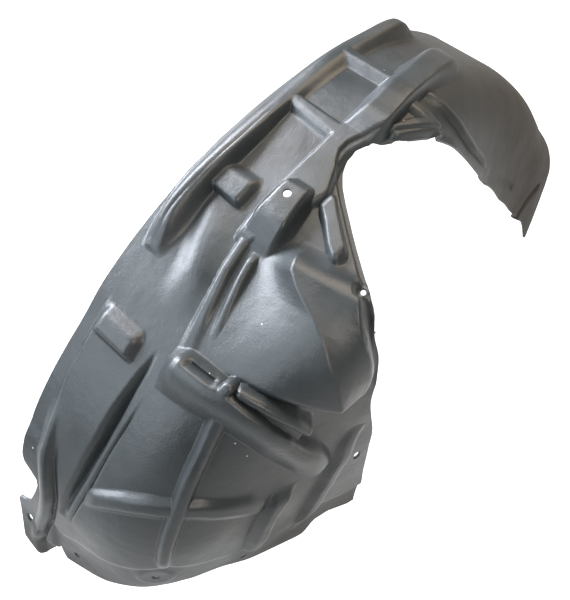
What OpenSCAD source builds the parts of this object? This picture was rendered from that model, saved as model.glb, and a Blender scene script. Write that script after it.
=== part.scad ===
// Wheel arch liner for a family car: one thermoformed sheet, body side modelled as seen.
// X runs along the car from the wide panel to the tip, Y is outboard, Z is up.
// The sheet is lofted through three rails, then the ribs are pressed along its normal.

/* [Arch] */
// Radius of the outboard edge about the axle
arch_r = 357; // [325:1:390]
// Width of the liner from outboard edge to inboard wall
liner_w = 182; // [160:1:210]
// Thickness of the sheet
sheet_t = 2.4; // [2:0.1:3.5]

/* [Pressed features] */
// Height of the bead along the outboard edge
bead_h = 15; // [6:0.5:18]
// Height of the long rib and of the block at its lower end
long_rib_h = 15; // [8:0.5:18]
// Height of the ledge that joins the two
ledge_h = 6; // [3:0.5:10]
// Height of the short cross ribs
cross_rib_h = 7; // [3:0.5:10]
// Height of the two thin bars between the block and the pipe rib
bar_h = 5; // [2:0.5:8]
// Height of the rib beside the cut-out
side_rib_h = 7; // [3:0.5:10]
// Height of the ribs on the wide panel
panel_rib_h = 7; // [3:0.5:10]
// Height of the pipe rib below the dome
pipe_h = 17; // [8:0.5:20]
// Height of the second, thinner rib behind the pipe rib
pipe_ridge_h = 14; // [8:0.5:16]
// Level of the channel between those two
channel_h = 8; // [4:0.5:12]
// Height of the dome on the wide panel
dome_h = 16; // [6:0.5:20]
// Depth of the long groove
groove_d = 9; // [3:0.5:11]
// Height of the rectangular pad
pad_h = 7; // [3:0.5:10]
// Height of the low folds and ridges
fold_h = 4; // [2:0.5:6]

/* [Fixings] */
// Diameter of the screw holes
screw_d = 6; // [4:0.5:8]
// Length of the slots in the lug and the lower flange
slot_l = 11; // [8:0.5:14]
// Width of those slots
slot_w = 5; // [4:0.5:6]
// Diameter of the hole in the block
rib_hole_d = 8; // [5:0.5:9]

/* [Hidden] */
$fn = 48;

// Drawn sizes the rails were laid out at, so that the sizes above scale them
drawn_r = 357;
drawn_w = 182;
kr = arch_r / drawn_r;
kw = liner_w / drawn_w;
// Stations run in degrees about the axle, from the bottom edge over the crown to the tip
u_first = 10;
u_last = 168;
// Length of arc per station degree
deg_l = drawn_r * PI / 180;
// How far a pressed wall is softened to suit the facets of the sheet
soften = 2.5;

// Rails: [station, radius] of the outboard edge, then [station, y, radius, angle] of the corner
// and of the free edge
edge_rail = [
    [10, 326], [20, 334], [30, 353], [40, 357], [108, 357], [118, 350], [124, 346], [130, 340],
    [142, 333], [148, 332], [156, 340], [168, 338]];
corner_rail = [
    [10, -106, 300, 11.5], [20, -122, 322, 20], [30, -131, 340, 30], [40, -132, 347, 40],
    [50, -134, 350, 50], [56, -150, 348, 56], [62, -150, 350, 62], [68, -135, 352, 67],
    [72, -110, 355, 71], [75, -80, 356, 75], [79, -60, 356, 79], [82, -50, 356, 82],
    [85, -50, 356, 85], [88, -55, 356, 88], [92, -75, 357, 92], [95, -85, 356, 95],
    [101, -88, 352, 101], [115, -90, 347, 115], [122, -91, 344, 122], [129, -91, 339, 129],
    [142, -91, 332, 142], [148, -91, 331, 148], [156, -91, 340, 156], [168, -88, 338, 167]];
free_rail = [
    [10, -168, 124, 28], [20, -173, 148, 42], [30, -176, 185, 52.7], [40, -180, 222, 59.2],
    [50, -181, 259, 62], [53, -180, 277, 63.5], [56, -183, 289, 65.5], [59, -183, 303, 67.4],
    [62, -181, 321, 68], [66, -177, 339, 68.5], [68, -177, 346, 69.5], [72, -165, 354, 71.5],
    [75, -134, 350, 75], [79, -107, 351, 79], [82, -81, 354, 82], [85, -81, 356, 85],
    [88, -89, 356, 88], [92, -105, 351, 92], [95, -106, 344, 95], [98, -108, 332, 98],
    [101, -112, 317, 101], [108, -117, 286, 108], [115, -115, 265, 115], [129, -112, 243, 129],
    [142, -109, 238, 142], [154, -106, 243, 154], [168, -100, 263, 168]];
// Rounding between band and wall: [station, tangent length]
round_rail = [
    [10, 50], [20, 52], [30, 56], [40, 55], [50, 50], [56, 45], [62, 35], [68, 30], [72, 20], [95, 20],
    [101, 28], [115, 42], [154, 42], [168, 38]];
// Cut lines: [station, distance] along the outboard edge, [distance, station] at the lower end
// and at the tip
rim = [
    [16, -6.5], [21.2, -6], [22.2, -4.5], [24.1, 7], [25, 9.5], [26, 12.5], [27, 15], [28.5, 17.5],
    [29.6, 16], [30.3, 10], [31, 2], [32, -1.5], [34, -3], [38, -3.6], [43, -2.8], [50, -1.2],
    [60, -1.5], [68, -1.2], [72, -2.2], [76, -1], [84, 1], [100, 1.2], [108, 0]];
hem = [
    [-7, 14], [0, 11.8], [4, 10.4], [9, 10], [22, 13.8], [31, 16.4], [34, 13], [60, 12.6], [73, 13],
    [94, 14.9], [115, 16.2], [133, 17.5], [151, 17.4], [166, 14.8], [183, 9.6], [199, 4], [214, 1.3],
    [235, 1], [249, 5.3], [266, 10.2], [280, 11.6], [297, 9.1], [305, 10]];
tip = [
    [0, 160], [120, 159], [130, 161], [150, 166.6], [162, 169.6], [170, 169.3], [180, 166.3],
    [190, 161.4], [200, 156.8], [210, 154]];
// Stations beyond which the sheet is stretched to the two end lines, and the width that the rim line moves
hem_reach = 30;
tip_reach = 146;
rim_reach = 20;

// Pressed forms that run along the arch: [station, foot, top, top, foot, share of the height],
// feet and tops being distances from the outboard edge
bead = [
    [61.7, 8, 14, 18, 27, 0], [64, 5, 13, 18, 28.5, 0.47], [66.5, 3, 12, 17, 29, 0.93],
    [70, 1, 13, 17, 27.5, 1], [73, 1, 15, 19, 26, 1], [76, 0, 16, 20.5, 25, 0.93],
    [80, 0, 16, 21, 24.5, 0.8], [84.8, -1, 14, 18, 21.5, 0.53], [89, -2, 11, 15, 19, 0.4],
    [94, -4, 6, 11, 16, 0.5], [99, -5, 3, 8, 12, 0.55], [103, -6, 2, 8, 13, 0.55],
    [106, -6, 2, 9, 16, 0.68], [108.5, -6, 2, 9, 16, 0.82], [109.8, -5, 3, 9, 15, 0.82],
    [112, -5, 3, 8, 13, 0]];
long_rib = [
    [110.5, 44, 52, 60, 70, 0], [108.5, 41, 50, 64, 74, 0.67], [106, 41, 52, 68, 77, 0.93],
    [102, 44, 58, 72, 78, 1], [98.5, 49, 63, 76, 80.5, 1], [95, 53, 66, 79.5, 84, 1],
    [91.5, 57, 69, 84, 88, 0.93], [89.3, 59, 70, 87, 91, 0.93], [87, 60, 66, 85, 90, 0.4]];
ledge = [
    [88, 60, 63, 86, 90, 1], [84, 61, 64, 79, 84, 1], [82, 61, 64, 81, 86, 1], [80, 61, 64, 86, 91, 1],
    [78, 61, 64, 92, 97, 1], [74, 61, 64, 84, 90, 1], [70.6, 61, 64, 80, 84, 1],
    [69.2, 61, 64, 72, 76, 0.83], [68.6, 62, 64, 70, 74, 0]];
block = [
    [68.8, 62, 67, 88, 94, 0], [72.4, 65, 69, 91, 97, 1], [74, 66, 70, 89, 95, 1],
    [76.2, 67, 70, 86, 92, 1], [77.5, 68, 71, 85, 91, 0.33]];
twin_bars = [
    [[69, 66, 68.5, 72, 75, 0.8], [65, 68, 70.5, 74.5, 77.5, 1], [60, 73, 75.5, 79.5, 82.5, 1],
    [54, 79, 82, 86, 89, 0.8], [52.5, 81, 84, 88, 91, 0]], [[68.6, 80, 82, 84.5, 87, 0],
    [67.5, 80.5, 83, 85.5, 88, 1], [65, 82.5, 85, 87.5, 90, 1], [60, 88, 90.5, 92, 95, 0.8],
    [57.5, 91, 93, 94, 97, 0]]];
groove = [
    [52.5, 55, 60, 63, 66, -0], [50, 53, 60, 66, 69, 0.78], [44, 50, 58, 64, 67.5, 1],
    [40, 49, 57, 62, 65.5, 1], [34, 45, 51.5, 56, 60, 0.78], [29, 40, 45, 49, 52, 0.44],
    [27, 38, 42, 45, 48, -0]];
upright_rib = [
    [51, 121, 127, 132, 139, 1], [46, 125, 131, 135, 142, 1], [38.5, 128, 134, 139, 146, 1],
    [35, 129, 135, 140, 147, 1], [28, 131, 136, 140, 146, 1], [25.5, 133, 137, 140, 144, 0]];
slant_rib = [
    [34, 222, 227, 238, 246, 0], [32, 222, 227, 238, 245, 0.86], [28, 217, 222, 230, 236, 1],
    [23, 210, 215, 225, 230, 1], [19.5, 206, 211, 218, 224, 0.71], [18.4, 206, 211, 216, 222, 0]];
flange_fold = [
    [45, 255, 262, 266, 272, 0], [40, 262, 268, 273, 280, 0.8], [36, 269, 276, 281, 290, 1],
    [30, 271, 278, 284, 293, 1], [24, 262, 268, 275, 284, 1], [18, 250, 256, 262, 270, 0.8],
    [15, 246, 252, 257, 263, 0]];
soft_fold = [
    [73, 14, 28, 32, 60, 0], [68, 24, 41, 45, 68, 1], [63, 35, 52, 56, 74, 1], [57, 38, 56, 60, 76, 0]];
valley = [
    [103, 86, 95, 99, 112, 0], [106, 110, 119, 123, 140, 1], [112, 128, 136, 140, 160, 1],
    [118, 140, 148, 152, 172, 1], [128, 146, 154, 158, 178, 1], [138, 146, 154, 158, 178, 1],
    [146, 138, 146, 150, 168, 1], [152, 128, 136, 140, 154, 1], [157, 116, 124, 128, 140, 0]];

// Pressed forms that run across the arch: [distance, foot, top, top, foot, share of the height],
// feet and tops being stations
cross_ribs = [
    [[21, 71.6, 72, 74, 75.9, 1], [45, 71.4, 71.8, 74, 75.8, 1], [53, 71.4, 71.8, 73.6, 75.4, 0]],
    [[17, 85.1, 85.6, 87, 87.6, 0.86], [64, 83.8, 84.2, 86.4, 87, 0.86]],
    [[9, 96, 96.5, 97.8, 98.4, 1], [56, 95.7, 96.2, 98, 98.6, 1]]];
u_rib = [
    [93, 77, 77.4, 78, 78.4, 0], [98, 76, 76.5, 78.2, 78.8, 0.86], [110, 74.6, 75.1, 76.4, 77, 1],
    [122, 73, 73.5, 74.9, 75.5, 1], [131, 72.1, 72.6, 73.8, 74.4, 1], [136, 71.9, 72.4, 73.2, 73.8, 0]];
pad = [
    [13, 50.6, 51.2, 53.4, 54.3, 0], [17, 50.6, 51.2, 53.3, 54.3, 1], [47, 50.1, 50.8, 52.8, 53.8, 1],
    [53, 50, 50.6, 52.6, 53.6, 0]];
pipe = [
    [76, 49.8, 51, 53.5, 54.6, 0], [80, 49.8, 51.6, 53.9, 55, 0.71], [85, 49.8, 52, 54, 55, 1],
    [98, 49.8, 52.2, 54, 54.8, 1], [118, 49.5, 52, 54, 54.8, 1], [134, 49.2, 51.8, 53.8, 54.4, 1],
    [153, 48, 50.6, 52.8, 53.4, 1], [166, 46.8, 49.4, 51.4, 52.1, 1],
    [180, 45, 47.8, 49.8, 50.6, 0.94], [209, 41, 43.6, 45.6, 46.8, 0.88],
    [231, 37.6, 40.4, 42.6, 44.6, 0.76], [250, 34, 36.6, 39, 41, 0.53], [268, 31, 33, 35, 37, 0]];
pipe_floor = [
    [129, 52, 52.6, 55, 55.8, 0], [133, 51.8, 52.4, 55, 55.8, 1], [153, 51, 51.6, 54.2, 55, 1],
    [178, 48, 48.6, 53, 53.8, 1], [196, 46, 46.6, 51, 51.8, 1], [200, 46, 46.6, 50.6, 51.4, 0]];
pipe_ridge = [
    [127, 54.4, 55, 55.3, 55.9, 0], [131, 54.2, 54.7, 55.2, 55.8, 1], [148, 53.9, 54.4, 54.9, 55.5, 1],
    [166, 53.2, 53.7, 54.2, 54.8, 1], [178, 52.4, 52.9, 53.4, 54.1, 1],
    [194, 50.2, 50.8, 51.4, 52.2, 1], [203, 49.4, 49.8, 50.4, 51, 0]];
level_rib = [
    [62, 31.2, 32.2, 33.2, 34, 0], [68, 31.6, 32.8, 33.8, 34.8, 0.86], [90, 33.6, 34.9, 35.9, 37.1, 1],
    [111, 34.7, 36, 37, 38.2, 1], [130, 35.2, 36.4, 37.4, 38.7, 1], [155, 35.1, 36.4, 37.4, 38.8, 1],
    [180, 33.6, 35.2, 36.3, 37.8, 1], [200, 31.8, 33.6, 35, 36.8, 1],
    [214, 30.2, 32, 33.4, 34.6, 0.71], [220, 29.5, 31, 32.4, 33.4, 0]];
thin_ridge = [
    [74, 99, 99.5, 100.1, 100.7, 0], [80, 99.2, 99.7, 100.3, 101, 1],
    [90, 99.6, 100.1, 100.7, 101.4, 1], [104, 100.8, 101.3, 101.9, 102.7, 1],
    [121, 102.8, 103.3, 104, 104.8, 1], [138, 105.6, 106.2, 107, 107.8, 1],
    [153, 110.2, 110.8, 111.8, 112.6, 0.75], [160, 112, 112.6, 113.6, 114.4, 0]];
short_rib = [[80, 94.6, 95.1, 96.4, 97, 1], [99, 95, 95.5, 96.8, 97.4, 1], [103, 95, 95.5, 96.8, 97.4, 0]];

// Short bent forms: [station, distance, half width]
bump = [[90.5, 93, 3], [93, 97, 4], [96, 104, 4], [96.3, 110, 3]];
lug_crease = [[38, 14, 1], [33.2, 20, 2], [29.5, 29, 2], [27, 32, 2], [22, 22, 2], [14.5, 8, 2]];
flap_fold = [[151.5, 200, 2], [150, 187, 3], [151, 171, 3], [154.8, 145, 3]];
// Dome: [station, start of the swell, ridge line, right edge of its facet]
dome_rows = [
    [54, 90, 200, 218], [56, 88, 194, 214], [58.8, 84, 182, 208], [61.5, 82, 168, 197],
    [64, 80, 157, 187], [66, 80, 145, 180], [67.8, 82, 129, 172], [69.2, 84, 118, 166],
    [70.8, 90, 113, 158], [73, 95, 110, 148]];
dome_foot = 54.6;
dome_top = 72.9;
// Lines where the lower flange and the outboard flange step back from the panel
hem_line = [
    [40, 22], [54, 23], [80, 23.5], [119, 25], [143, 26], [170, 24], [204, 20.5], [223, 18.5],
    [249, 18.5], [269, 22], [300, 20]];
edge_line = [[34, 19], [40, 15], [44.8, 11.5], [50, 13], [54.5, 13], [56.5, 17], [58, 5]];

// Holes: [station, distance, radius of the flat land]; the first is the fixing that the frame sits on
screws = [[17, 48, 11], [21.6, 130, 11], [14, 201, 11], [70.8, 158, 9]];
flange_slot = [33, 302, 11];
lug_slot = [19.5, 3, 9];
rib_hole = [75, 78, 7];
land_fade = 7;

// Station lines, closer where a rib crosses
u_lines = concat(
    [10, 14, 18, 22, 24.2, 25.8], [for (u = [27.5:2:33.5]) u], [34.8, 36.1, 37.4, 38.7],
    [40.5, 43, 45.5, 47.5, 49.3], [50.4, 51.4, 52.4, 53.4, 54.3, 55.1, 56, 57.5],
    [60, 62.2, 64.4, 66.5, 68.6], [for (u = [69.7:1:74.7]) u],
    [75.7, 76.6, 77.6, 79, 81, 83, 84.2, 85.2, 86.5, 87.5, 89, 90.5], [for (u = [92.5:2:94.5]) u],
    [95.9, 96.9, 98, 99.2, 100.6, 102.5, 105, 107, 109, 110.8, 112.8, 116],
    [for (u = [120:4:156]) u], [159, 163.5, 168]);
// Lines along the band in fixed places, then spread evenly out to the free edge
v_band = [0, 5, 10, 15, 19, 23, 27, 33, 40, 48, 54, 60, 64, 69, 74];
v_wall = 22;

function rising(t) = t[0][0] < t[len(t) - 1][0] ? t : [for (i = [len(t) - 1:-1:0]) t[i]];
function cols(t) = [for (k = [1:len(t[0]) - 1]) [for (p = rising(t)) [p[0], p[k]]]];
function ext(u, t) = u < u_first ? 2 * lookup(u_first, t) - lookup(2 * u_first - u, t)
    : u > u_last ? 2 * lookup(u_last, t) - lookup(2 * u_last - u, t) : lookup(u, t);
function eased(u, t) = (ext(u - 3, t) + 2 * ext(u - 1.5, t) + 2 * ext(u, t)
    + 2 * ext(u + 1.5, t) + ext(u + 3, t)) / 8;
function polar(y, r, a) = [-r * kr * cos(a), y * kw, r * kr * sin(a)];
corner = cols(corner_rail);
free = cols(free_rail);
function on_rail(u, c) = polar(eased(u, c[0]), eased(u, c[1]), eased(u, c[2]));

// A station holds its three rail points, the two leg lengths and the rounding
function station(u) = let (
    a = polar(0, eased(u, edge_rail), u), c = on_rail(u, corner), e = on_rail(u, free),
    la = norm(c - a), lb = norm(e - c))
    [a, c, e, la, lb, min(eased(u, round_rail), 0.85 * la, 0.85 * lb)];
function reach(s) = s[3] + s[4];
function along(s, v) = let (
    ta = (s[0] - s[1]) / s[3], tb = (s[2] - s[1]) / s[4], f = s[5],
    w = (v - s[3] + f) / (2 * f))
    w <= 0 ? s[0] - ta * v
    : w >= 1 ? s[1] + tb * (v - s[3])
    : (s[1] + ta * f) * (1 - w) * (1 - w) + 2 * s[1] * w * (1 - w) + (s[1] + tb * f) * w * w;
function unit(p) = p / norm(p);
function out_of(u, v) = unit(cross(
    along(station(u), v + 0.5) - along(station(u), v - 0.5),
    along(station(u + 0.4), v) - along(station(u - 0.4), v)));

function ramp(x) = max(0, min(1, x));
function soft(x) = let (s = ramp(x)) s * s * (3 - 2 * s);
// One pressed form: rises from its foot to its top and falls again; kx is the length of one unit of x
function run(s, x, c, kx, round = 0) = let (n = len(c[0]))
    s < c[0][0][0] || s > c[0][n - 1][0] ? 0
    : let (e = soften / kx, a = lookup(s, c[0]) - e, b = lookup(s, c[1]) + e / 2,
        p = lookup(s, c[2]) - e / 2, q = lookup(s, c[3]) + e)
    x <= a || x >= q ? 0
    : let (up = (x - a) / (b - a))
    lookup(s, c[4]) * min(round * sin(90 * ramp(up)) + (1 - round) * soft(up), soft((q - x) / (q - p)));
function leg(u, v, p, q) = let (
    d = [(q[0] - p[0]) * deg_l, q[1] - p[1]], r = [(u - p[0]) * deg_l, v - p[1]],
    k = ramp((r * d) / max(0.01, d * d)))
    norm(r - d * k) - (p[2] + (q[2] - p[2]) * k);
function path(u, v, t, e) = soft(1 - min([for (k = [1:len(t) - 1]) leg(u, v, t[k - 1], t[k])]) / e);

c_bead = cols(bead);
c_long = cols(long_rib);
c_ledge = cols(ledge);
c_block = cols(block);
c_bars = [for (t = twin_bars) cols(t)];
c_groove = cols(groove);
c_upright = cols(upright_rib);
c_slant = cols(slant_rib);
c_flange = cols(flange_fold);
c_soft = cols(soft_fold);
c_valley = cols(valley);
c_cross = [for (t = cross_ribs) cols(t)];
c_side = cols(u_rib);
c_pad = cols(pad);
c_pipe = cols(pipe);
c_floor = cols(pipe_floor);
c_ridge = cols(pipe_ridge);
c_level = cols(level_rib);
c_thin = cols(thin_ridge);
c_short = cols(short_rib);
c_dome = cols(dome_rows);

// Dome: swells to its ridge line, falls a little over its facet and drops at the free edge
function dome(u, v, vm) = u < dome_foot || u > dome_top ? 0 : let (
    a = lookup(u, c_dome[0]), r = lookup(u, c_dome[1]), e = lookup(u, c_dome[2]))
    dome_h * soft((u - dome_foot) / 1.6) * soft((dome_top - u) / 3.2)
    * (v < r ? soft((v - a) / (r - a)) : v < e ? 1 - 0.25 * (v - r) / (e - r)
        : 0.75 * soft((vm - 3 - v) / (vm - 3 - e)));

// Everything pressed out of the sheet at one place: the highest form wins, grooves and flanges go back in
function pressed(u, v, vm) =
    max(concat([
        bead_h * run(u, v, c_bead, 1, 0.8), long_rib_h * run(u, v, c_long, 1, 0.6),
        ledge_h * run(u, v, c_ledge, 1), long_rib_h * run(u, v, c_block, 1),
        dome(u, v, vm), pad_h * run(v, u, c_pad, deg_l), side_rib_h * run(v, u, c_side, deg_l),
        pipe_h * run(v, u, c_pipe, deg_l, 0.8), channel_h * run(v, u, c_floor, deg_l),
        pipe_ridge_h * run(v, u, c_ridge, deg_l), panel_rib_h * run(v, u, c_level, deg_l),
        panel_rib_h * run(u, v, c_upright, 1), panel_rib_h * run(u, v, c_slant, 1),
        fold_h * run(u, v, c_flange, 1), fold_h * run(v, u, c_thin, deg_l),
        fold_h * run(v, u, c_short, deg_l), fold_h * run(u, v, c_soft, 1),
        1.5 * fold_h * path(u, v, bump, 3)],
        [for (c = c_cross) cross_rib_h * run(v, u, c, deg_l)],
        [for (c = c_bars) bar_h * run(u, v, c, 1)]))
    - groove_d * run(u, v, c_groove, 1) - 0.75 * fold_h * run(u, v, c_valley, 1)
    - fold_h * (1.4 * path(u, v, lug_crease, 4) + path(u, v, flap_fold, 4))
    - 0.75 * fold_h * soft((lookup(v, hem_line) - u) / 1.3) * soft((v - 36) / 10)
        * (1 - 0.9 * soft(2 - abs(v - 220) / 22))
    - 0.6 * fold_h * soft((lookup(u, edge_line) - v) / 3) * soft((u - 34) / 3) * soft((58 - u) / 2)
    - 0.75 * fold_h * soft((v - vm + 8) / 3) * soft((u - 55) / 3) * soft((101 - u) / 4);

// Middle of the sheet and its direction, before the lands are laid flat
function raw(s, u, v) = along(s, v) + out_of(u, v) * pressed(u, v, reach(s));
function place(h) = let (s = station(h[0])) [raw(s, h[0], h[1]), out_of(h[0], h[1]), h[2]];
lands = [for (h = concat(screws, [flange_slot, lug_slot, rib_hole])) place(h)];
function settle(pn, k = 0) = k == len(lands) ? pn : let (
    r = pn[0] - lands[k][0], n = lands[k][1], h = r * n,
    w = soft((lands[k][2] + land_fade - norm(r - n * h)) / land_fade) * (abs(h) < 25 ? 1 : 0))
    settle([pn[0] - n * h * w, unit(pn[1] * (1 - w) + n * w)], k + 1);
function v_at(u, s, j) = j < len(v_band)
    ? let (b = lookup(u, rim), v = v_band[j]) (v < rim_reach ? b + v * (rim_reach - b) / rim_reach : v)
    : v_band[len(v_band) - 1] + (reach(s) - v_band[len(v_band) - 1]) * (j - len(v_band) + 1) / v_wall;
function u_at(u, v) =
    u < hem_reach ? hem_reach - (hem_reach - u) / (hem_reach - u_first) * (hem_reach - lookup(v, hem))
    : u > tip_reach ? tip_reach + (u - tip_reach) / (u_last - tip_reach) * (lookup(v, tip) - tip_reach)
    : u;

nu = len(u_lines);
nv = len(v_band) + v_wall;
net = [for (u = u_lines) let (s = station(u)) [for (j = [0:nv - 1])
    let (v = v_at(u, s, j), w = u_at(u, v)) settle([raw(w == u ? s : station(w), w, v), out_of(w, v)])]];

module sheet() {
    skin = nu * nv;
    polyhedron(
        points = concat(
            [for (row = net) for (p = row) p[0] - p[1] * sheet_t / 2],
            [for (row = net) for (p = row) p[0] + p[1] * sheet_t / 2]),
        faces = concat(
            [for (i = [0:nu - 2]) for (j = [0:nv - 2]) let (a = i * nv + j) each
                [[a, a + 1, a + nv], [a + 1, a + nv + 1, a + nv]]],
            [for (i = [0:nu - 2]) for (j = [0:nv - 2]) let (a = skin + i * nv + j) each
                [[a, a + nv, a + 1], [a + 1, a + nv, a + nv + 1]]],
            [for (i = [0:nu - 2]) for (j = [0, nv - 1]) let (a = i * nv + j, b = a + nv) each j == 0
                ? [[a, b, skin + a], [b, skin + b, skin + a]]
                : [[a, skin + a, b], [b, skin + a, skin + b]]],
            [for (i = [0, nu - 1]) for (j = [0:nv - 2]) let (a = i * nv + j, b = a + 1) each i == 0
                ? [[a, skin + a, b], [b, skin + a, skin + b]]
                : [[a, b, skin + a], [b, skin + b, skin + a]]]),
        convexity = 12);
}

// Puts a cutter on the sheet at one of the lands, its axis along the sheet normal
module at_land(k) {
    p = lands[k][0];
    n = lands[k][1];
    translate(p) rotate([0, acos(n[2]), atan2(n[1], n[0])]) children();
}

module slot_cut() {
    for (x = [-1, 1])
        translate([x * (slot_l - slot_w) / 2, 0, 0]) cylinder(d = slot_w, h = 20, center = true);
    cube([slot_l - slot_w, slot_w, 20], center = true);
}

module liner() {
    color([0.11, 0.11, 0.12])
        translate(-lands[0][0]) difference() {
            sheet();
            for (k = [0:len(screws) - 1]) at_land(k) cylinder(d = screw_d, h = 20, center = true);
            at_land(len(screws)) slot_cut();
            at_land(len(screws) + 1) slot_cut();
            at_land(len(screws) + 2) cylinder(d = rib_hole_d, h = 20, center = true);
        }
}

liner();
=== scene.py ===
import bpy
import math
import numpy as np
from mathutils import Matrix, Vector


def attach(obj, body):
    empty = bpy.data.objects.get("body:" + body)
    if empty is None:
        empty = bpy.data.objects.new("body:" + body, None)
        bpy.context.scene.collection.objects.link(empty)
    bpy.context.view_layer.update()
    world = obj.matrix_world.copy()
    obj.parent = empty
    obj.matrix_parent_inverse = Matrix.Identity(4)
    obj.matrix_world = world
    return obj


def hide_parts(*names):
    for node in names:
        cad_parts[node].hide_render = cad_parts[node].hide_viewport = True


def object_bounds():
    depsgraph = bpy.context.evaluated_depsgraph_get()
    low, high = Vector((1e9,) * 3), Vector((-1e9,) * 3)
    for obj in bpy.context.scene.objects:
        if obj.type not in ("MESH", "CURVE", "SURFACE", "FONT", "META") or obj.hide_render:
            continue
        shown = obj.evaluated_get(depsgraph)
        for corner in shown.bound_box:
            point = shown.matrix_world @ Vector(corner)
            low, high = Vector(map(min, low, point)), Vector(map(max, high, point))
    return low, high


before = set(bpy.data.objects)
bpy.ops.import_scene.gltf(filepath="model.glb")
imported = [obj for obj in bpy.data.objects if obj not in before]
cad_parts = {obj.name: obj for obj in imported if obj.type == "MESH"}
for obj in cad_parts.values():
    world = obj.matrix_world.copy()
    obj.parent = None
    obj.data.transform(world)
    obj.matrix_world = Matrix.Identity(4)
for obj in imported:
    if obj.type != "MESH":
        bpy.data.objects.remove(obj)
cad_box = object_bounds()

# The camera stands inboard of the wide panel and above it, as the photograph does.
# Its turn and height were worked out from the arch edge and the cross ribs.
az, el = math.radians(42.0), math.radians(50.5)
toward = Vector((-math.cos(el) * math.cos(az), -math.cos(el) * math.sin(az), math.sin(el)))
side = Vector((math.sin(az), -math.cos(az), 0.0))
up = toward.cross(side)
# the wheel's axle, seen from the first screw hole, and where the camera stands from it
axle = Vector((0.307559, 0.047124, -0.095904))
stand_off, aim_side, aim_up = 1.026, 0.008, 0.060
eye = stand_off * toward - aim_side * side + aim_up * up + axle
bpy.ops.object.camera_add(location=eye, rotation=toward.to_track_quat("Z", "Y").to_euler())
camera = bpy.context.object
camera.data.sensor_fit = "HORIZONTAL"
sensor_mm, focal_px, frame_px = 36.0, 1000.0, 570.0
camera.data.sensor_width = sensor_mm
camera.data.lens = sensor_mm * focal_px / frame_px
camera.data.clip_end = 20.0
bpy.context.scene.camera = camera

# Plain studio: white paper under the lowest edge, a soft window of three panes on the upper left of the view
# and weaker lamps round it. Camera, mirror and glass rays see the paper as white, and the room is one
# plain pale colour.
scene = bpy.context.scene
scene.view_settings.view_transform = "Standard"


def linear(code):
    parts = [int(code[i:i + 2], 16) / 255.0 for i in (1, 3, 5)]
    return [p / 12.92 if p <= 0.04045 else ((p + 0.055) / 1.055) ** 2.4 for p in parts] + [1.0]


def add(tree, kind, links=None, **values):
    node = tree.nodes.new(kind)
    for key, value in values.items():
        if key.startswith("in_"):
            name = key[3:].replace("_", " ")
            socket = node.inputs[int(name)] if name.isdigit() else node.inputs[name]
            socket.default_value = value
        else:
            setattr(node, key, value)
    for name, output in (links or {}).items():
        tree.links.new(output, node.inputs[name])
    return node


def seen_rays(tree):
    path = add(tree, "ShaderNodeLightPath")
    both = add(tree, "ShaderNodeMath", {0: path.outputs["Is Camera Ray"], 1: path.outputs["Is Glossy Ray"]},
               operation="MAXIMUM")
    return add(tree, "ShaderNodeMath", {0: both.outputs[0], 1: path.outputs["Is Transmission Ray"]},
               operation="MAXIMUM").outputs[0]


paper_w, gap_below = 60.0, 0.012
bpy.ops.mesh.primitive_plane_add(size=paper_w, location=(0.0, 0.0, cad_box[0][2] - gap_below))
floor = bpy.context.object
floor.name = "floor"
paper = bpy.data.materials.new("white background paper")
paper.use_nodes = True
tree = paper.node_tree
tree.nodes.clear()
shade = add(tree, "ShaderNodeBsdfDiffuse", in_Color=linear("#8e8e8c"))
glow = add(tree, "ShaderNodeEmission", in_Color=linear("#ffffff"), in_Strength=0.74)
both = add(tree, "ShaderNodeAddShader", {0: shade.outputs[0], 1: glow.outputs[0]})
mix = add(tree, "ShaderNodeMixShader", {0: seen_rays(tree), 1: shade.outputs[0], 2: both.outputs[0]})
add(tree, "ShaderNodeOutputMaterial", {"Surface": mix.outputs[0]})
floor.data.materials.append(paper)

world = bpy.data.worlds.new("studio")
scene.world = world
world.use_nodes = True
tree = world.node_tree
tree.nodes.clear()
sky = add(tree, "ShaderNodeBackground", in_Color=linear("#f4f6f8"), in_Strength=0.25)
add(tree, "ShaderNodeOutputWorld", {"Surface": sky.outputs[0]})

# lamps: name, place (to the side, up the view, toward the camera), width in metres, watts, tint
middle, lamp_far = Vector((0.30, 0.0, 0.12)), 1.3
for name, place, width, power, tint in (
        ("left pane of the window", (-0.85, 0.45, 0.25), 0.6, 28.0, "#ecf2fc"),
        ("middle pane of the window", (-0.62, 0.77, 0.19), 0.6, 46.0, "#ecf2fc"),
        ("right pane of the window", (-0.35, 0.93, 0.1), 0.6, 25.0, "#f4f4fc"),
        ("pale ceiling", (0.0, 0.75, 0.66), 0.8, 10.0, "#fff2e2"),
        ("warm lamp on the right", (0.5, 0.75, 0.43), 0.8, 14.0, "#ffe8cc"),
        ("far wall", (-0.72, -0.1, 0.68), 0.8, 12.0, "#e4eef6"),
        ("lamp by the camera", (0.3, -0.1, 0.95), 0.6, 10.0, "#fff4ea")):
    offset = lamp_far * Vector(place)
    offset = offset.x * side + offset.y * up + offset.z * toward
    bpy.ops.object.light_add(type="AREA", location=middle + offset,
                             rotation=offset.to_track_quat("Z", "Y").to_euler())
    lamp = bpy.context.object
    lamp.name = name
    lamp.data.shape = "SQUARE"
    lamp.data.size = width
    lamp.data.energy = power
    lamp.data.color = linear(tint)[:3]

# The liner: one sheet of black high-density polyethylene, heated, drawn over a form and trimmed.
# The blank is laid out flat, bent over three rails and pressed along its own normal, because its relief
# is drawn and not built up; then the sheet gets its thickness and the holes are punched.
# Lengths are in millimetres; a station is an angle in degrees about the axle.
arch_r = 357.0
sheet_t = 2.4
step_l = arch_r * math.pi / 180.0
first, last = 10.0, 168.0

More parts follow.
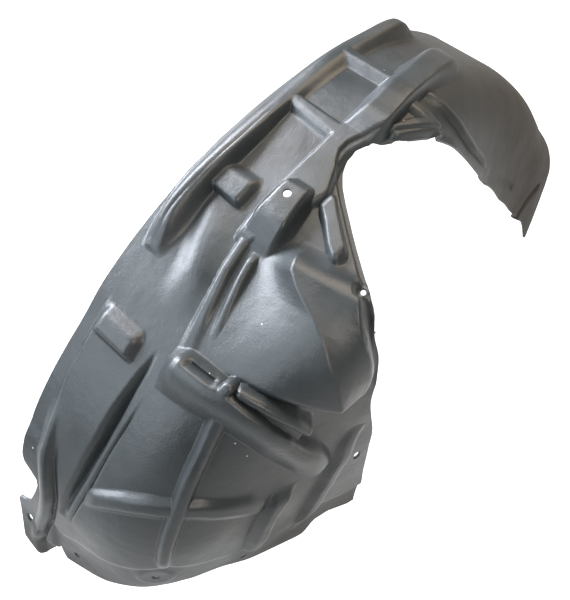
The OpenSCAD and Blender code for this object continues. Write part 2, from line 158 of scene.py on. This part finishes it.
# rails: [station, y, radius, angle]
edge_rail = [
    [10, 326], [20, 334], [30, 353], [40, 357], [108, 357], [118, 350], [124, 346], [130, 340],
    [142, 333], [148, 332], [156, 340], [168, 338]]
corner_rail = [
    [10, -106, 300, 11.5], [20, -122, 322, 20], [30, -131, 340, 30], [40, -132, 347, 40],
    [50, -134, 350, 50], [56, -150, 348, 56], [62, -150, 350, 62], [68, -135, 352, 67],
    [72, -110, 355, 71], [75, -80, 356, 75], [79, -60, 356, 79], [82, -50, 356, 82], [85, -50, 356, 85],
    [88, -55, 356, 88], [92, -75, 357, 92], [95, -85, 356, 95], [101, -88, 352, 101],
    [115, -90, 347, 115], [122, -91, 344, 122], [129, -91, 339, 129], [142, -91, 332, 142],
    [148, -91, 331, 148], [156, -91, 340, 156], [168, -88, 338, 167]]
free_rail = [
    [10, -168, 124, 28], [20, -173, 148, 42], [30, -176, 185, 52.7], [40, -180, 222, 59.2],
    [50, -181, 259, 62], [53, -180, 277, 63.5], [56, -183, 289, 65.5], [59, -183, 303, 67.4],
    [62, -181, 321, 68], [66, -177, 339, 68.5], [68, -177, 346, 69.5], [72, -165, 354, 71.5],
    [75, -134, 350, 75], [79, -107, 351, 79], [82, -81, 354, 82], [85, -81, 356, 85], [88, -89, 356, 88],
    [92, -105, 351, 92], [95, -106, 344, 95], [98, -108, 332, 98], [101, -112, 317, 101],
    [108, -117, 286, 108], [115, -115, 265, 115], [129, -112, 243, 129], [142, -109, 238, 142],
    [154, -106, 243, 154], [168, -100, 263, 168]]
round_rail = [
    [10, 50], [20, 52], [30, 56], [40, 55], [50, 50], [56, 45], [62, 35], [68, 30], [72, 20], [95, 20],
    [101, 28], [115, 41], [154, 41], [168, 38]]
# where the sheet is cut: [station, distance] at the outboard edge, [distance, station] at both ends
rim = [
    [16, -6.5], [21.2, -6], [22.2, -4.5], [24.1, 7], [25, 9.5], [26, 12.5], [27, 15], [28.5, 17.5],
    [29.6, 16], [30.3, 10], [31, 2], [32, -1.5], [34, -3], [38, -3.6], [43, -2.8], [50, -1.2], [60, -1.5],
    [68, -1.2], [72, -2.2], [76, -1], [84, 1], [100, 1.2], [108, 0]]
hem = [
    [-7, 14], [0, 11.8], [4, 10.4], [9, 10], [22, 13.8], [31, 16.4], [34, 13], [60, 12.6], [73, 13],
    [94, 14.9], [115, 16.2], [133, 17.5], [151, 17.4], [166, 14.8], [183, 9.6], [199, 4], [214, 1.3],
    [235, 1], [249, 5.3], [266, 10.2], [280, 11.6], [297, 9.1], [305, 10]]
tip = [
    [0, 160], [120, 159], [130, 161], [150, 166.6], [162, 169.6], [170, 169.3], [180, 166.3],
    [190, 161.4], [200, 156.8], [210, 154]]


def rail(u, table, column):
    t = np.array(table, float)
    x, y = t[:, 0], t[:, column]

    def at(p):
        low = y[0] + (p - x[0]) * (y[1] - y[0]) / (x[1] - x[0])
        high = y[-1] + (p - x[-1]) * (y[-1] - y[-2]) / (x[-1] - x[-2])
        return np.where(p < x[0], low, np.where(p > x[-1], high, np.interp(p, x, y)))
    # the table's corners are rounded over three degrees each way
    return (at(u - 3) + 2 * at(u - 1.5) + 2 * at(u) + 2 * at(u + 1.5) + at(u + 3)) / 8


def polar(y, r, a):
    a = np.radians(a)
    return np.stack([-r * np.cos(a), y, r * np.sin(a)], -1)


def bent(u, v):
    # across the arch: a flat band, a round corner between the rails and a side wall
    a = polar(0 * u, rail(u, edge_rail, 1), u)
    c = polar(*[rail(u, corner_rail, k) for k in (1, 2, 3)])
    e = polar(*[rail(u, free_rail, k) for k in (1, 2, 3)])
    la = np.linalg.norm(c - a, axis=-1)
    lb = np.linalg.norm(e - c, axis=-1)
    most = 0.85
    f = np.minimum(rail(u, round_rail, 1), most * np.minimum(la, lb))
    ta = (a - c) / la[..., None]
    tb = (e - c) / lb[..., None]
    w = np.clip((v - la + f) / (2 * f), 0, 1)[..., None]
    curve = (c + ta * f[..., None]) * (1 - w) ** 2 + 2 * c * w * (1 - w) + (c + tb * f[..., None]) * w ** 2
    flat = a - ta * v[..., None]
    wall = c + tb * (v - la)[..., None]
    return np.where(w <= 0, flat, np.where(w >= 1, wall, curve)), la + lb


def outward(u, v):
    dv, du = 0.5, 0.4
    n = np.cross(bent(u, v + dv)[0] - bent(u, v - dv)[0], bent(u + du, v)[0] - bent(u - du, v)[0])
    return n / np.linalg.norm(n, axis=-1, keepdims=True)


def soft(x):
    x = np.clip(x, 0, 1)
    return x * x * (3 - 2 * x)


def flank(x):
    # a drawn wall: straight, with a small round at its foot and at its top
    x = np.clip(x, 0, 1)
    return x - 0.09 * np.sin(2 * math.pi * x)


def run(s, x, rows, height, back=0.0):
    # rows: [along, foot, top, top, foot, share of the height]; back rounds the first wall like a tube
    t = np.array(rows, float)
    if t[0, 0] > t[-1, 0]:
        t = t[::-1]
    # the path's bends are eased over a fortieth of its length each way
    ease = 0.025 * (t[-1, 0] - t[0, 0])
    a, b, c, d, h = [(np.interp(s - ease, t[:, 0], t[:, k]) + np.interp(s, t[:, 0], t[:, k])
                      + np.interp(s + ease, t[:, 0], t[:, k])) / 3 for k in range(1, 6)]
    h = np.where((s < t[0, 0]) | (s > t[-1, 0]), 0, h)
    up = np.clip((x - a) / (b - a), 0, 1)
    up = back * np.sin(up * math.pi / 2) + (1 - back) * flank(up)
    return height * h * np.minimum(up, flank((d - x) / (d - c)))


def press(u, v, line, height, wall):
    # a short form drawn along a bent line: [station, distance, half width]
    best = np.full(u.shape, 1e9)
    for (u0, v0, w0), (u1, v1, w1) in zip(line[:-1], line[1:]):
        du, dv = (u1 - u0) * step_l, v1 - v0
        ru, rv = (u - u0) * step_l, v - v0
        k = np.clip((ru * du + rv * dv) / max(0.01, du * du + dv * dv), 0, 1)
        best = np.minimum(best, np.hypot(ru - k * du, rv - k * dv) - (w0 + (w1 - w0) * k))
    return height * flank(1 - best / wall)


# the pressed forms, in rows as run() and press() take them
bead = [
    [61.7, 8, 14, 18, 27, 0], [64, 5, 13, 18, 28.5, 0.47], [66.5, 3, 12, 17, 29, 0.93],
    [70, 1, 13, 17, 27.5, 1], [73, 1, 15, 19, 26, 1], [76, 0, 16, 20.5, 25, 0.93],
    [80, 0, 16, 21, 24.5, 0.8], [84.8, -1, 14, 18, 22, 0.53], [86.8, -1.5, 12, 16, 22, 0.43],
    [89.5, -2, 10, 13, 23, 0.37], [94, -4, 6, 10, 22, 0.42], [99, -5, 3, 8, 20, 0.45],
    [103, -6, 2, 8, 17, 0.5], [106, -6, 2, 9, 16, 0.68], [108.5, -6, 2, 9, 16, 0.82],
    [109.8, -5, 3, 9, 15, 0.82], [112, -5, 3, 8, 13, 0]]
long_rib = [
    [110.5, 44, 52, 60, 70, 0], [108.5, 41, 50, 64, 74, 0.67], [106, 41, 52, 68, 77, 0.93],
    [102, 44, 58, 72, 78, 1], [98.5, 49, 63, 76, 80.5, 1], [95, 53, 66, 79.5, 84, 1],
    [91.5, 57, 69, 84, 88, 0.93], [89.3, 59, 70, 87, 91, 0.93], [87, 60, 66, 85, 90, 0.4]]
ledge = [
    [88, 60, 63, 86, 90, 1], [84, 61, 64, 79, 84, 1], [82, 61, 64, 81, 86, 1], [80, 61, 64, 86, 91, 1],
    [78, 61, 64, 92, 97, 1], [74, 61, 64, 84, 90, 1], [70.6, 61, 64, 80, 84, 1],
    [69.2, 61, 64, 72, 76, 0.83], [68.6, 62, 64, 70, 74, 0]]
block = [
    [68.8, 62, 67, 88, 94, 0], [72.4, 65, 69, 91, 97, 1], [74, 66, 70, 89, 95, 1],
    [76.2, 67, 70, 86, 92, 1], [77.5, 68, 71, 85, 91, 0.33]]
cross_ribs = [
    [[21, 71.6, 72, 74, 75.9, 1], [47.5, 71.4, 71.8, 74, 75.8, 1], [51.5, 71.4, 71.8, 73.6, 75.4, 0]],
    [[17, 85.1, 86.2, 87, 87.6, 0.86], [64, 83.8, 85, 86.4, 87, 0.86]],
    [[9, 96, 97, 97.9, 98.5, 1], [56, 95.7, 96.8, 98, 98.6, 1]]]
twin_bars = [
    [[69, 66, 68.5, 72, 75, 0.8], [65, 68, 70.5, 74.5, 77.5, 1], [61, 72, 74.5, 79, 82.5, 0.8],
     [57.5, 73, 78, 81, 88, 0.3], [54, 76, 82, 85, 93, 0.15], [52, 80, 84, 88, 94, 0]],
    [[68.6, 80, 82, 84.5, 87, 0], [67.5, 80.5, 83, 85.5, 88, 1], [65, 82.5, 85, 87.5, 90, 1],
     [61, 86.5, 89.5, 91, 95, 0.5], [57.5, 90, 93, 94, 99, 0]]]
u_rib = [
    [93, 77, 77.4, 78, 78.4, 0], [98, 76, 76.5, 78.2, 78.8, 0.86], [110, 74.6, 75.1, 76.4, 77, 1],
    [122, 73, 73.5, 74.9, 75.5, 1], [131, 72.1, 72.6, 73.8, 74.4, 1], [136, 71.9, 72.4, 73.2, 73.8, 0]]
pad = [
    [13, 50.6, 51.2, 52.8, 54.6, 0], [17, 50.6, 51.2, 52.8, 54.6, 1], [47, 50.1, 50.8, 52.4, 54.1, 1],
    [51.5, 50, 50.6, 52.2, 53.8, 0]]
groove = [
    [53, 62, 64, 64.4, 66, 0], [50, 58.5, 63.5, 64.2, 67, 0.5], [44, 53, 61.5, 62.3, 67, 1],
    [40, 51.5, 59.5, 60.3, 65.5, 1], [34, 46.5, 53.5, 54.3, 59.5, 0.8], [29, 41, 46.5, 47.3, 51.5, 0.45],
    [27, 38, 43, 44, 48, 0]]
thin_groove = [
    [48, 72.5, 73.7, 74, 75.2, 0], [44, 70.5, 71.7, 72.1, 73.3, 1], [34, 62.6, 63.8, 64.2, 65.4, 1],
    [28.5, 53, 54.2, 54.6, 55.8, 1], [26.5, 50, 51, 51.4, 52.4, 0]]
bead_flute = [
    [62.5, 14.5, 16, 16.3, 17.8, 0], [66, 13, 14.5, 14.9, 16.4, 1], [72, 15.6, 17.1, 17.5, 19, 1],
    [78, 17, 18.5, 18.9, 20.4, 1], [84, 14.6, 16, 16.3, 17.6, 0]]
pipe = [
    [76, 49.8, 52.8, 53.5, 54.6, 0], [80, 49.8, 53.2, 53.9, 55.8, 0.71], [85, 49.8, 53.4, 54, 55.8, 1],
    [98, 49.8, 53.5, 54, 55.8, 1], [118, 49.5, 53.4, 54, 55.8, 1], [134, 49.2, 53.2, 53.8, 54.4, 1],
    [153, 48, 52.1, 52.8, 53.4, 1], [166, 46.8, 50.8, 51.4, 52.1, 1], [180, 45, 49.2, 49.8, 50.6, 0.94],
    [209, 41, 45.0, 45.6, 46.8, 0.88], [231, 37.6, 41.9, 42.6, 44.6, 0.76], [250, 34, 38.3, 39, 41, 0.53],
    [268, 31, 34.4, 35, 37, 0]]
pipe_floor = [
    [129, 52, 52.6, 55, 56.4, 0], [133, 51.8, 52.4, 55, 56.4, 1], [153, 51, 51.6, 54.2, 55.6, 1],
    [178, 48, 48.6, 53, 54.2, 1], [196, 46, 46.6, 51, 52, 1], [200, 46, 46.6, 50.6, 51.6, 0]]
pipe_ridge = [
    [127, 54.3, 54.7, 55.1, 56, 0], [131, 54.1, 54.5, 55, 56, 1], [148, 53.7, 54.1, 54.7, 55.7, 1],
    [166, 52.8, 53.3, 53.9, 54.9, 1], [178, 51.9, 52.4, 53, 54, 1], [194, 49.7, 50.3, 51, 52, 1],
    [203, 48.9, 49.4, 50, 50.8, 0]]
pipe_slot = [
    [90, 54.05, 54.3, 54.5, 54.8, 0], [94, 54.05, 54.3, 54.5, 54.8, 1], [114, 54.05, 54.3, 54.5, 54.8, 1],
    [118, 54.05, 54.3, 54.5, 54.8, 0]]
pipe_bump = [[53.9, 123, 2.5], [54.8, 125, 3]]
level_rib = [
    [62, 31.2, 32.2, 33.2, 34, 0], [68, 31.6, 32.8, 33.8, 34.8, 0.86], [90, 33.6, 34.9, 35.9, 37.1, 1],
    [111, 34.7, 36, 37, 38.2, 1], [130, 35.2, 36.4, 37.4, 38.7, 1], [155, 35.1, 36.4, 37.4, 38.8, 1],
    [180, 33.6, 35.2, 36.3, 37.8, 1], [200, 31.8, 33.6, 35, 36.8, 1], [214, 30.2, 32, 33.4, 34.6, 0.71],
    [220, 29.5, 31, 32.4, 33.4, 0]]
upright_rib = [
    [51, 121, 127, 132, 139, 1], [46, 125, 131, 135, 142, 1], [38.5, 128, 134, 139, 146, 1],
    [35, 129, 135, 140, 147, 1], [28, 131, 136, 140, 146, 1], [25.5, 133, 137, 140, 144, 0]]
slant_rib = [
    [34, 222, 227, 238, 246, 0], [32, 222, 227, 238, 245, 0.86], [28, 217, 222, 230, 236, 1],
    [23, 210, 215, 225, 230, 1], [19.5, 206, 211, 218, 224, 0.71], [18.4, 206, 211, 216, 222, 0]]
flange_fold = [
    [45, 255, 262, 266, 272, 0], [40, 262, 268, 273, 280, 0.8], [36, 269, 276, 281, 290, 1],
    [30, 271, 278, 284, 293, 1], [24, 262, 268, 275, 284, 1], [18, 250, 256, 262, 270, 0.8],
    [15, 246, 252, 257, 263, 0]]
thin_ridge = [
    [74, 99, 99.5, 100.1, 100.7, 0], [80, 99.2, 99.7, 100.3, 101, 1], [90, 99.6, 100.1, 100.7, 101.4, 1],
    [104, 100.8, 101.3, 101.9, 102.7, 1], [121, 102.8, 103.3, 104, 104.8, 1],
    [138, 105.6, 106.2, 107, 107.8, 1], [153, 110.2, 110.8, 111.8, 112.6, 0.75],
    [160, 112, 112.6, 113.6, 114.4, 0]]
short_rib = [[80, 94.6, 95.1, 96.4, 97, 1], [99, 95, 95.5, 96.8, 97.4, 1], [103, 95, 95.5, 96.8, 97.4, 0]]
soft_fold = [
    [73, 14, 28, 32, 60, 0], [68, 24, 41, 45, 68, 1], [63, 35, 52, 56, 74, 1], [57, 38, 56, 60, 76, 0]]
bump = [[90.5, 93, 3], [93, 97, 4], [96, 104, 4], [96.3, 110, 3]]
lug_tube = [
    [14.5, 0, 5, 7, 11, 0.3], [18.8, 6, 12, 14, 18, 1], [24.5, 17, 24, 26, 30, 1],
    [28.2, 21, 28, 30, 34, 1], [30.8, 18, 26, 28, 32, 1], [33.8, 12, 20, 22, 27, 1],
    [37, 9, 16, 18, 23, 0.6], [41, 7, 12, 14, 19, 0]]
lug_valley = [
    [14, 6, 9, 11, 15, 0.8], [18.8, 14, 18, 19, 23, 1], [24.5, 26, 30, 31, 35, 1],
    [28.2, 30, 34, 35, 40, 1], [30.8, 28, 32, 33, 38, 0.8], [33.8, 23, 27, 28, 33, 0.5],
    [37, 19, 23, 24, 29, 0]]
crease = [[111.5, 168, 1], [116.2, 172, 2], [124.8, 175, 2], [134.5, 172, 1]]
flap_fold = [[151.5, 200, 2], [150, 187, 3], [151, 171, 3], [154.8, 145, 3]]
# dome: [station, where the swell starts, ridge, right edge of its facet]; height of the ridge, what its lower
# end stands above that, and height of the facet's right edge
dome_rows = [
    [54, 90, 200, 218], [56, 88, 194, 214], [58.8, 84, 182, 208], [61.5, 82, 168, 197],
    [64, 80, 157, 187], [66, 80, 145, 180], [67.8, 82, 129, 172], [69.2, 84, 118, 166],
    [70.8, 90, 113, 158], [73, 95, 110, 148]]
dome_h, dome_gain, facet_h = 17, 5, 11
# stations where the dome begins and ends, how many degrees its walls take, and where its ridge starts to gain
dome_low, dome_high, low_wall, high_wall = 54.6, 72.9, 1.5, 3.2
gain_from, gain_over = 67, 8
# edges of the low flanges: [distance, station] at the hem, [station, distance] at the outboard edge
hem_line = [
    [25, 24.4], [33, 22.8], [40, 22], [54, 23], [80, 23.5], [119, 25], [143, 26], [170, 24], [204, 20.5],
    [223, 18.5], [249, 18.5], [269, 22], [300, 20]]
edge_line = [[34, 19], [40, 15], [44.8, 11.5], [50, 12], [58, 12]]

# path, height, how round its first wall is; these run along the arch
along = [(bead, 15, 0.8), (long_rib, 15, 0.6), (ledge, 6, 0), (block, 15, 0), (upright_rib, 7, 0),
         (slant_rib, 7, 0), (flange_fold, 5, 0), (soft_fold, 4, 0), (lug_tube, 5, 1)]
along += [(bar, 5, 0) for bar in twin_bars]
# and these across it
across = [(pad, 7, 0), (u_rib, 7, 0), (pipe, 17, 0.8), (pipe_floor, 9, 0), (pipe_ridge, 15, 0),
          (level_rib, 5, 0), (thin_ridge, 4, 0), (short_rib, 5, 0)]
across += [(rib, 7, 0) for rib in cross_ribs]
# short forms: line, height, width of the wall
knobs = [(pipe_bump, 17, 3.5), (bump, 6, 3)]
dents = [(crease, 1.5, 4), (flap_fold, 4, 4)]
# what is drawn inward: path, depth
sunk = [(groove, 9), (thin_groove, 2), (bead_flute, 1.2)]
slot_deep, valley_deep = 6.5, 3
# flanges that step inward: depth and width of the step, in degrees at the two lower ones
hem_deep, hem_wall = 3, 1.3
corner_deep, corner_wall, corner_top = 5, 0.6, 15.9
edge_deep, edge_wall = 2.5, 2.5
free_deep, free_wall, free_w = 3, 2.5, 8


def pressed(u, v, reach):
    # how far the sheet stands out of the bent blank; reach is the blank's width at that station
    dome = np.array(dome_rows, float).T
    start, ridge, right = [np.interp(u, dome[0], dome[k]) for k in (1, 2, 3)]
    t = np.clip((v - start) / (ridge - start), 0, 1)
    crest = dome_h + dome_gain * soft((gain_from - u) / gain_over)
    # hollow at first, and a straight slope from six tenths of the way to the ridge
    rise = crest * np.where(t < 0.6, t * t / 0.84, (t - 0.3) / 0.7)
    facet = crest - (crest - facet_h) * (v - ridge) / (right - ridge)
    free_lip, least = 3, 4
    fall = facet_h * flank((reach - free_lip - v) / np.maximum(least, reach - free_lip - right))
    swell = np.where(v < ridge, rise, np.where(v < right, facet, fall))
    swell = swell * flank((u - dome_low) / low_wall) * flank((dome_high - u) / high_wall)
    raised = [swell] + [run(u, v, *form) for form in along] + [run(v, u, *form) for form in across]
    raised += [press(u, v, *form) for form in knobs]
    d = np.max(raised, 0)
    for path, deep in sunk:
        d = d - run(u, v, path, deep)
    d = d - run(v, u, pipe_slot, slot_deep)
    d -= run(u, v, lug_valley, valley_deep) + press(u, v, *dents[0]) + press(u, v, *dents[1])
    # the flange at the hem begins 24 mm in from the outboard edge and all but fades at its tab
    hem_at = np.interp(v, *np.array(hem_line, float).T)
    hem_from, hem_over, tab_at, tab_half = 24, 6, 220, 22
    step = hem_deep * flank((hem_at - u) / hem_wall) * soft((v - hem_from) / hem_over)
    d -= step * (1 - 0.9 * soft(2 - abs(v - tab_at) / tab_half))
    # the ear at the outboard corner, 5 to 28 mm in
    d -= corner_deep * flank((corner_top - u) / corner_wall) * soft((v - 5) / 5) * soft((28 - v) / 3)
    # the outboard edge, from station 34 to 56
    edge_at = np.interp(u, *np.array(edge_line, float).T)
    d -= edge_deep * flank((edge_at - v) / edge_wall) * soft((u - 34) / 3) * soft((56 - u) / 5)
    # the free edge, from station 55 to 101
    d -= free_deep * flank((v - reach + free_w) / free_wall) * soft((u - 55) / 3) * soft((101 - u) / 4)
    return d


def trim(u, v):
    # u, v come in as the even blank; the cut edges are pulled to their lines, and what lies further in
    # than lip, low_end and high_end stays
    lip, low_end, high_end = 20, 30, 146
    cut = np.interp(u, *np.array(rim, float).T)
    v = np.where(v < lip, cut + v * (lip - cut) / lip, v)
    low = np.interp(v, *np.array(hem, float).T)
    high = np.interp(v, *np.array(tip, float).T)
    u = np.where(u < low_end, low_end - (low_end - u) / (low_end - first) * (low_end - low), u)
    u = np.where(u > high_end, high_end + (u - high_end) / (last - high_end) * (high - high_end), u)
    return u, v


# holes: [station, distance, radius of the flat land round it, radius of the hole, half of what a slot adds]
screws = [[17, 48, 11, 2.5, 0], [21.6, 130, 11, 2.5, 0], [14, 201, 11, 2.5, 0], [71.2, 159.5, 2.5, 1.8, 0]]
slots = [[33, 302, 11, 2.4, 2.5], [19.5, 3, 9, 2.4, 2.5]]
rib_hole = [[75, 78, 6, 2.8, 0]]
land_fade, land_deep = 5.0, 25
lands = []
for station, distance, land_r, hole_r, stretch in screws + slots + rib_hole:
    hu, hv = np.array([float(station)]), np.array([float(distance)])
    p, full = bent(hu, hv)
    n = outward(hu, hv)
    centre = (p + n * pressed(hu, hv, full)[:, None])[0]
    lands.append((centre, n[0], land_r, hole_r / 1000, stretch / 1000))
origin = lands[0][0]

# spacing of the blank's lines along the arch: [station, millimetres], closer where ribs stand
spacing = np.array([[10, 2.6], [25, 2.6], [27, 1.3], [57, 1.3], [60, 2.4], [63, 1.3], [103, 1.3], [107, 2.6],
                    [168, 3.0]])
stations = [first]
while stations[-1] < last:
    stations.append(stations[-1] + np.interp(stations[-1], *spacing.T) / step_l)
stations = first + (np.array(stations) - first) * (last - first) / (stations[-1] - first)
# lines of the blank each way; the first 66 lie in the band of 73 mm at the outboard edge, where the beads are
columns, rows, band_rows, band_v = len(stations), 270, 66, 73.0

bpy.ops.object.select_all(action="DESELECT")
bpy.ops.mesh.primitive_grid_add(x_subdivisions=columns - 1, y_subdivisions=rows - 1, size=2.0)
liner = bpy.context.object
liner.name = "liner_sheet"
flat = np.empty(columns * rows * 3)
liner.data.vertices.foreach_get("co", flat)
flat = flat.reshape(-1, 3)
u = stations[np.rint((flat[:, 0] + 1) / 2 * (columns - 1)).astype(int)]
row = np.rint((flat[:, 1] + 1) / 2 * (rows - 1))
reach = bent(u, 0 * u)[1]
inner_most = 0.8
inner = np.minimum(band_v, inner_most * reach)
v = np.where(row < band_rows, inner * row / band_rows,
             inner + (reach - inner) * (row - band_rows) / (rows - 1 - band_rows))
u, v = trim(u, v)
place, full = bent(u, v)
normal = outward(u, v)
place = place + normal * pressed(u, v, full)[:, None]
for p, n, land_r, hole_r, stretch in lands:
    rel = place - p
    h = rel @ n
    away = np.linalg.norm(rel - h[:, None] * n, axis=1)
    w = soft((land_r + land_fade - away) / land_fade) * (np.abs(h) < land_deep)
    place = place - n * (h * w)[:, None]
liner.data.vertices.foreach_set("co", ((place - origin) / 1000).ravel())
liner.data.update()

bpy.ops.object.mode_set(mode="EDIT")
bpy.ops.mesh.select_all(action="SELECT")
bpy.ops.mesh.normals_make_consistent(inside=False)
bpy.ops.object.mode_set(mode="OBJECT")
face = liner.data.polygons[len(liner.data.polygons) // 2]
if Vector(normal[face.vertices[0]]).dot(face.normal) < 0:
    liner.data.flip_normals()
ease = liner.modifiers.new("ease", "SMOOTH")
ease.factor = 0.5
ease.iterations = 2
bpy.ops.object.modifier_apply(modifier="ease")
skin_faces = 92000
thin = liner.modifiers.new("thin", "DECIMATE")
thin.ratio = skin_faces / (2 * (columns - 1) * (rows - 1))
bpy.ops.object.modifier_apply(modifier="thin")
wall = liner.modifiers.new("wall", "SOLIDIFY")
wall.thickness = sheet_t / 1000
wall.offset = 0.0
wall.use_even_offset = False
bpy.ops.object.modifier_apply(modifier="wall")

# each punch is narrowest at the middle of the sheet, which breaks the edges of the hole on both faces
punch_l, punch_flare, on_axis = 0.008, 0.5, 1e-5
punches = []
for p, n, land_r, radius, stretch in lands:
    bpy.ops.object.select_all(action="DESELECT")
    bpy.ops.mesh.primitive_cylinder_add(vertices=40, radius=radius + punch_flare * punch_l / 2, depth=punch_l)
    punch = bpy.context.object
    bpy.ops.object.mode_set(mode="EDIT")
    bpy.ops.mesh.select_all(action="SELECT")
    bpy.ops.mesh.bisect(plane_co=(0, 0, 0), plane_no=(0, 0, 1))
    bpy.ops.object.mode_set(mode="OBJECT")
    for corner in punch.data.vertices:
        far = corner.co.xy.length
        corner.co.xy *= (radius + punch_flare * abs(corner.co.z)) / far
        corner.co.x += math.copysign(stretch, corner.co.x) if abs(corner.co.x) > on_axis else 0.0
    punch.location = Vector(p - origin) / 1000
    punch.rotation_euler = (0.0, math.acos(n[2]), math.atan2(n[1], n[0]))
    punches.append(punch)
for punch in punches:
    punch.select_set(True)
bpy.context.view_layer.objects.active = punches[0]
bpy.ops.object.join()
cut = liner.modifiers.new("punch", "BOOLEAN")
cut.object = punches[0]
cut.operation = "DIFFERENCE"
cut.solver = "MANIFOLD"
bpy.context.view_layer.objects.active = liner
bpy.ops.object.modifier_apply(modifier="punch")
bpy.data.objects.remove(punches[0])
bpy.ops.object.select_all(action="DESELECT")
liner.select_set(True)
bpy.context.view_layer.objects.active = liner
bpy.ops.object.shade_smooth_by_angle(angle=math.radians(80))
even = liner.modifiers.new("even", "WEIGHTED_NORMAL")
even.keep_sharp = True
bpy.ops.object.modifier_apply(modifier="even")

# Black high-density polyethylene, vacuum formed: satin, duller toward the tip and along the bottom, with a
# little brown mixed into the colour there, which at the tip is a painted warm reflection; with an uneven
# skin, a fine grain and a few pale specks of dust.
hdpe = bpy.data.materials.new("black thermoformed HDPE")
hdpe.use_nodes = True
tree = hdpe.node_tree
tree.nodes.clear()
where = add(tree, "ShaderNodeTexCoord").outputs["Object"]
parts = add(tree, "ShaderNodeSeparateXYZ", {0: where})
# the duller, browner skin begins 360 mm toward the tip, and below 30 mm above the first hole; its brown at
# the tip is a painted warm reflection
front = add(tree, "ShaderNodeMapRange", {"Value": parts.outputs["X"]}, in_1=0.36, in_2=0.50)
low = add(tree, "ShaderNodeMapRange", {"Value": parts.outputs["Z"]}, in_1=0.03, in_2=-0.05)
dull_painted_warmth = add(tree, "ShaderNodeMath", {0: front.outputs["Result"], 1: low.outputs["Result"]},
           operation="MAXIMUM")
# patches of about 40 mm, dimples of about 12 mm, grain of about 1 mm
cloud = add(tree, "ShaderNodeTexNoise", {"Vector": where}, in_Scale=25.0, in_Detail=4.0)
dimples = add(tree, "ShaderNodeTexNoise", {"Vector": where}, in_Scale=80.0, in_Detail=4.0)
grain = add(tree, "ShaderNodeTexNoise", {"Vector": where}, in_Scale=900.0, in_Detail=2.0)
tint = add(tree, "ShaderNodeValToRGB", {"Fac": cloud.outputs["Fac"]})
tint.color_ramp.elements[0].position = 0.3
tint.color_ramp.elements[0].color = linear("#1d2123")
tint.color_ramp.elements[1].position = 0.7
tint.color_ramp.elements[1].color = linear("#282d2f")
# painted warm reflection: a brown tint mixed into the colour toward the tip, and the same tint along the
# bottom
tone_and_painted_warmth = add(tree, "ShaderNodeMixRGB", {"Fac": dull_painted_warmth.outputs[0], "Color1": tint.outputs["Color"]},
           in_Color2=linear("#2a2825"))
# one speck in each cell of 25 mm, 1.2 mm across
specks = add(tree, "ShaderNodeTexVoronoi", {"Vector": where}, in_Scale=40.0)
dust = add(tree, "ShaderNodeMath", {0: specks.outputs["Distance"]}, operation="LESS_THAN", in_1=0.024)
dusty = add(tree, "ShaderNodeMixRGB", {"Fac": dust.outputs[0], "Color1": tone_and_painted_warmth.outputs["Color"]},
            in_Color2=linear("#a09c92"))
gloss = add(tree, "ShaderNodeMapRange", {"Value": cloud.outputs["Fac"]},
            in_1=0.3, in_2=0.7, in_3=0.33, in_4=0.48)
worn = add(tree, "ShaderNodeMath", {0: dull_painted_warmth.outputs[0], 2: gloss.outputs["Result"]}, operation="MULTIPLY_ADD",
           in_1=0.42)
uneven = add(tree, "ShaderNodeBump", {"Height": dimples.outputs["Fac"]}, in_Strength=0.4, in_Distance=0.0012)
relief = add(tree, "ShaderNodeBump", {"Height": grain.outputs["Fac"], "Normal": uneven.outputs["Normal"]},
             in_Strength=0.35, in_Distance=0.0004)
skin = add(tree, "ShaderNodeBsdfPrincipled", {
    "Base Color": dusty.outputs["Color"], "Roughness": worn.outputs[0], "Normal": relief.outputs["Normal"]},
    in_IOR=1.5, in_Specular_IOR_Level=0.42)
add(tree, "ShaderNodeOutputMaterial", {"Surface": skin.outputs[0]})
liner.data.materials.clear()
liner.data.materials.append(hdpe)
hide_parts("liner")
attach(liner, "root")
